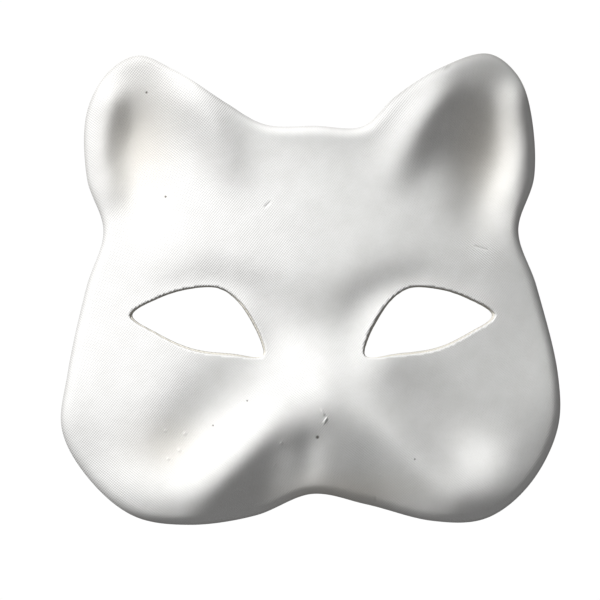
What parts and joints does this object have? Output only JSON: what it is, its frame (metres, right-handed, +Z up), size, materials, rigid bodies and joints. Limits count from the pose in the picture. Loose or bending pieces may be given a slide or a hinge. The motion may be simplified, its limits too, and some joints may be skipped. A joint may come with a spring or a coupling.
{
  "type": "cat half-mask",
  "caption": "Blank moulded-pulp cat half-mask with pointed ears, almond eye openings, a short nose and an open lower edge, worn over the upper face.",
  "frame": {"origin": "in the plane of the rear rim at the temples, on the mask's middle plane, at the height of the eye line", "axes": "+X to the wearer's left, +Z up towards the ears, -Y forward along the wearer's gaze"},
  "size_m": [0.1811, 0.0437, 0.169],
  "materials": {
    "face_pulp": null,
    "backing_pulp": null,
    "strip_pulp": null
  },
  "bodies": {
    "root": {"face_ply": "face_pulp", "backing_ply": "backing_pulp", "temple_strip_right": "strip_pulp", "temple_strip_left": "strip_pulp"}
  },
  "joints": []
}
